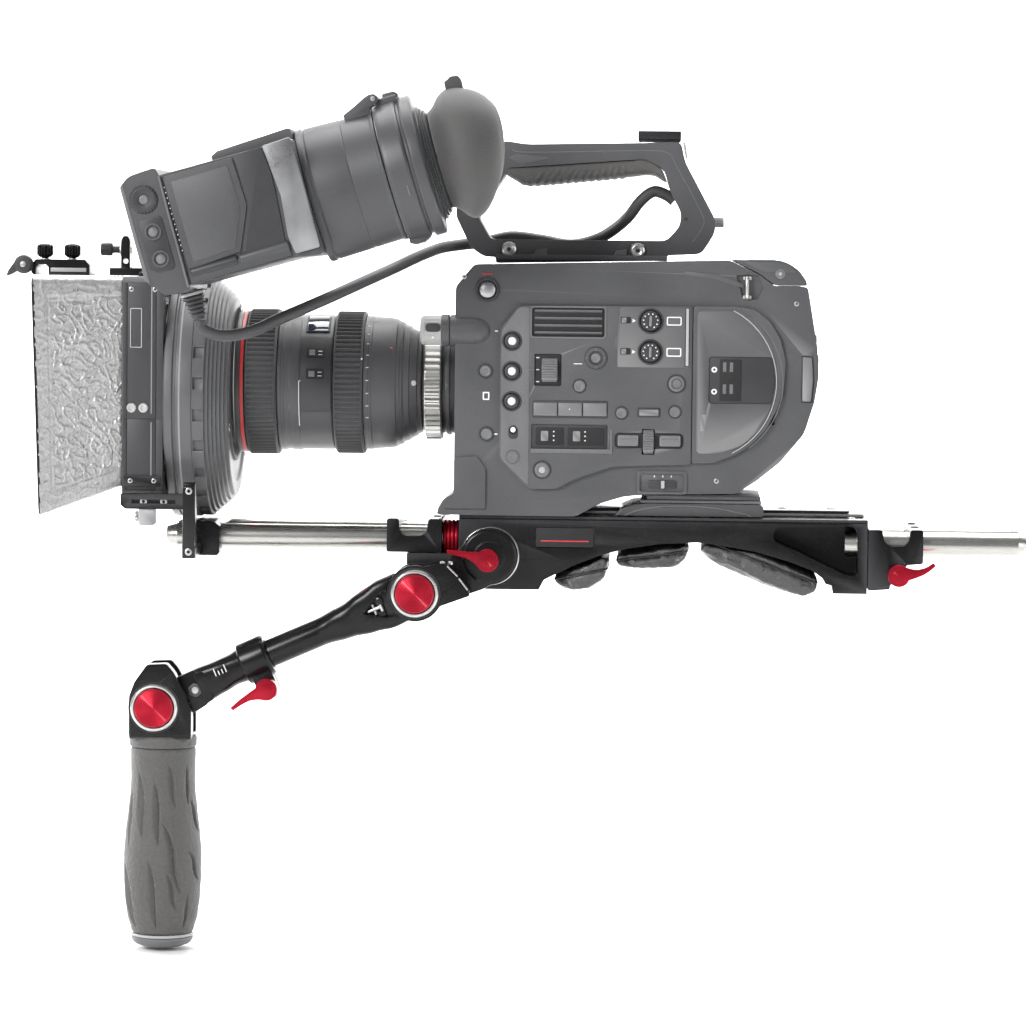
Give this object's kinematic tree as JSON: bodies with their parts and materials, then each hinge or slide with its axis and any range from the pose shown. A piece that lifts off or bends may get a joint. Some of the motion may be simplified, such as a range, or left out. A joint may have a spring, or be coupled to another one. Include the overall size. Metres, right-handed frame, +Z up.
{
  "type": "shoulder-mounted cinema camera rig",
  "caption": "Cinema camera on a padded shoulder frame with 15 mm rods, folding side handle, lens, matte box, top handle and tilting eyepiece viewfinder.",
  "frame": {"origin": "centre of the flat tripod face under the shoulder frame", "axes": "+Z up, +X to the rear of the rig (the lens looks along -X), and the operator's side with the controls faces -Y"},
  "size_m": [0.6141, 0.245, 0.5108],
  "materials": {
    "frame_black": "black anodised, satin",
    "rod_steel": "brushed",
    "anodised_red": "turned and anodised",
    "camera_grey": "fine moulded grain",
    "panel_silver": "metallic paint",
    "key_grey": "moulded",
    "lens_black": "satin",
    "rubber_grey": "matte",
    "pad_leather": "wrinkled",
    "hood_skin": "wrinkled sheet",
    "cable_jacket": "smooth",
    "circuit_green": "circuit board",
    "mark_white": "printed",
    "accent_red": "painted ring",
    "lens_glass": "coated"
  },
  "bodies": {
    "shoulder": {"shoulder_frame": "frame_black", "dovetail_rail": "rod_steel", "front_rod_block": "frame_black", "rear_rod_block": "frame_black", "front_pad": "pad_leather", "middle_pad": "pad_leather", "rear_pad": "pad_leather", "rosette_disc": "rod_steel"},
    "front_rods": {"front_rod_left": "rod_steel", "front_rod_right": "rod_steel"},
    "matte_box": {"matte_box_hood": "hood_skin", "filter_stage": "lens_black", "light_ring": "lens_black", "matte_box_bracket": "lens_black", "flag_clamp": "lens_black"},
    "rear_rods": {"rear_rod_left": "rod_steel", "rear_rod_right": "rod_steel"},
    "lock_collar": {"lock_collar": "anodised_red"},
    "rear_lever": {"rear_lock_lever": "anodised_red"},
    "arm_bracket": {"arm_bracket": "frame_black"},
    "arm_lever": {"arm_lock_lever": "anodised_red"},
    "upper_button": {"upper_push_button": "anodised_red"},
    "upper_arm": {"upper_arm": "frame_black"},
    "lower_arm": {"lower_arm": "frame_black"},
    "tube_lever": {"tube_lock_lever": "anodised_red"},
    "grip": {"grip_joint": "frame_black", "grip_sleeve": "rubber_grey", "grip_end_cap": "key_grey"},
    "lower_button": {"lower_push_button": "anodised_red"},
    "camera": {"camera_plate": "frame_black", "left_shell": "camera_grey", "right_shell": "camera_grey", "side_panel": "camera_grey", "rear_cover": "camera_grey", "camera_foot_pad": "camera_grey", "sensor_module": "circuit_green", "battery_pack": "key_grey", "top_handle": "camera_grey", "handle_grip": "rubber_grey", "cold_shoe": "frame_black", "lens_barrel": "lens_black", "finder_arm": "camera_grey", "finder_cable": "cable_jacket"},
    "card_door": {"card_door": "camera_grey"},
    "record_button": {"record_button": "key_grey"},
    "assign_button_1": {"assign_button_1": "key_grey"},
    "assign_button_2": {"assign_button_2": "key_grey"},
    "assign_button_3": {"assign_button_3": "key_grey"},
    "audio_dial_1": {"audio_dial_1": "key_grey"},
    "audio_dial_2": {"audio_dial_2": "key_grey"},
    "iris_wheel": {"iris_wheel": "key_grey"},
    "select_wheel": {"select_wheel": "key_grey"},
    "nd_knob": {"nd_filter_knob": "panel_silver"},
    "mount_ring": {"mount_lock_ring": "panel_silver"},
    "focus": {"focus_ring": "lens_black"},
    "zoom": {"zoom_ring": "lens_black"},
    "finder": {"finder_housing": "camera_grey", "cable_boot": "cable_jacket"},
    "loupe": {"loupe": "lens_black"},
    "eyecup": {"eyecup": "rubber_grey"}
  },
  "joints": [
    {"name": "front_rods_slide", "type": "slide", "parent": "shoulder", "child": "front_rods", "axis": [-1, 0, 0], "range_m": [0, 0.04]},
    {"name": "matte_box_slide", "type": "slide", "parent": "front_rods", "child": "matte_box", "axis": [-1, 0, 0], "range_m": [-0.004, 0.012]},
    {"name": "rear_rods_slide", "type": "slide", "parent": "shoulder", "child": "rear_rods", "axis": [1, 0, 0], "range_m": [0, 0.025]},
    {"name": "collar_turn", "type": "hinge", "parent": "shoulder", "child": "lock_collar", "pos_m": [-0.037, -0.03, 0.029], "axis": [1, 0, 0], "range_deg": [0, 90]},
    {"name": "rear_lever_turn", "type": "hinge", "parent": "shoulder", "child": "rear_lever", "pos_m": [0.2298, -0.05, 0.0115], "axis": [0, 1, 0], "range_deg": [0, 100]},
    {"name": "arm_swing", "type": "hinge", "parent": "shoulder", "child": "arm_bracket", "pos_m": [-0.013, -0.055, 0.0203], "axis": [0, -1, 0], "range_deg": [-10, 45]},
    {"name": "arm_lever_turn", "type": "hinge", "parent": "arm_bracket", "child": "arm_lever", "pos_m": [-0.014, -0.063, 0.0185], "axis": [0, 1, 0], "range_deg": [0, 110]},
    {"name": "upper_arm_fold", "type": "hinge", "parent": "arm_bracket", "child": "upper_arm", "pos_m": [-0.0553, -0.07, 0], "axis": [0, -1, 0], "range_deg": [-5, 60]},
    {"name": "upper_button_press", "type": "slide", "parent": "arm_bracket", "child": "upper_button", "axis": [0, 1, 0], "range_m": [0, 0.002], "stiffness_N_per_m": 600, "springref_m": -0.002},
    {"name": "arm_extend", "type": "slide", "parent": "upper_arm", "child": "lower_arm", "axis": [-0.9157, 0, -0.4019], "range_m": [-0.02, 0.008]},
    {"name": "tube_lever_turn", "type": "hinge", "parent": "lower_arm", "child": "tube_lever", "pos_m": [-0.14252, -0.083, -0.05805], "axis": [0, -1, 0], "range_deg": [0, 100]},
    {"name": "grip_fold", "type": "hinge", "parent": "lower_arm", "child": "grip", "pos_m": [-0.2085, -0.07, -0.0695], "axis": [0, 1, 0], "range_deg": [-30, 45]},
    {"name": "lower_button_press", "type": "slide", "parent": "grip", "child": "lower_button", "axis": [0, 1, 0], "range_m": [0, 0.002], "stiffness_N_per_m": 600, "springref_m": -0.002},
    {"name": "camera_slide", "type": "slide", "parent": "shoulder", "child": "camera", "axis": [1, 0, 0], "range_m": [0, 0.03]},
    {"name": "mount_ring_turn", "type": "hinge", "parent": "camera", "child": "mount_ring", "pos_m": [-0.045, 0, 0.1212], "axis": [1, 0, 0], "range_deg": [0, 25]},
    {"name": "nd_knob_turn", "type": "hinge", "parent": "camera", "child": "nd_knob", "pos_m": [-0.047, -0.045, 0.154], "axis": [1, 0, 0], "range_deg": [0, 135]},
    {"name": "record_press", "type": "slide", "parent": "camera", "child": "record_button", "axis": [0, 1, 0], "range_m": [0, 0.001], "stiffness_N_per_m": 300, "springref_m": -0.001},
    {"name": "assign_1_press", "type": "slide", "parent": "camera", "child": "assign_button_1", "axis": [0, 1, 0], "range_m": [0, 0.001], "stiffness_N_per_m": 300, "springref_m": -0.001},
    {"name": "assign_2_press", "type": "slide", "parent": "camera", "child": "assign_button_2", "axis": [0, 1, 0], "range_m": [0, 0.001], "stiffness_N_per_m": 300, "springref_m": -0.001},
    {"name": "assign_3_press", "type": "slide", "parent": "camera", "child": "assign_button_3", "axis": [0, 1, 0], "range_m": [0, 0.001], "stiffness_N_per_m": 300, "springref_m": -0.001},
    {"name": "iris_wheel_spin", "type": "hinge", "parent": "camera", "child": "iris_wheel", "pos_m": [0.0214, -0.0485, 0.1314], "axis": [1, 0, 0], "continuous": true},
    {"name": "select_wheel_spin", "type": "hinge", "parent": "camera", "child": "select_wheel", "pos_m": [0.0804, -0.0485, 0.0894], "axis": [1, 0, 0], "continuous": true},
    {"name": "audio_dial_1_turn", "type": "hinge", "parent": "camera", "child": "audio_dial_1", "pos_m": [0.0809, -0.055, 0.161], "axis": [0, -1, 0], "range_deg": [0, 270]},
    {"name": "audio_dial_2_turn", "type": "hinge", "parent": "camera", "child": "audio_dial_2", "pos_m": [0.0809, -0.055, 0.1426], "axis": [0, -1, 0], "range_deg": [0, 270]},
    {"name": "card_door_open", "type": "hinge", "parent": "camera", "child": "card_door", "pos_m": [0.1062, -0.053, 0.123], "axis": [0, 0, -1], "range_deg": [0, 100]},
    {"name": "focus_turn", "type": "hinge", "parent": "camera", "child": "focus", "pos_m": [-0.152, 0, 0.1212], "axis": [1, 0, 0], "range_deg": [0, 110]},
    {"name": "zoom_turn", "type": "hinge", "parent": "camera", "child": "zoom", "pos_m": [-0.1, 0, 0.1212], "axis": [1, 0, 0], "range_deg": [0, 75]},
    {"name": "finder_tilt", "type": "hinge", "parent": "camera", "child": "finder", "pos_m": [-0.1456, -0.06, 0.2526], "axis": [0, -1, 0], "range_deg": [-15, 30], "deforming": ["finder_cable"]},
    {"name": "loupe_flip", "type": "hinge", "parent": "finder", "child": "loupe", "pos_m": [-0.0798, -0.114, 0.2876], "axis": [0, -1, 0], "range_deg": [0, 90]},
    {"name": "eyecup_turn", "type": "hinge", "parent": "loupe", "child": "eyecup", "pos_m": [-0.0415, -0.114, 0.25306], "axis": [0.9593, 0, 0.2823], "continuous": true}
  ]
}
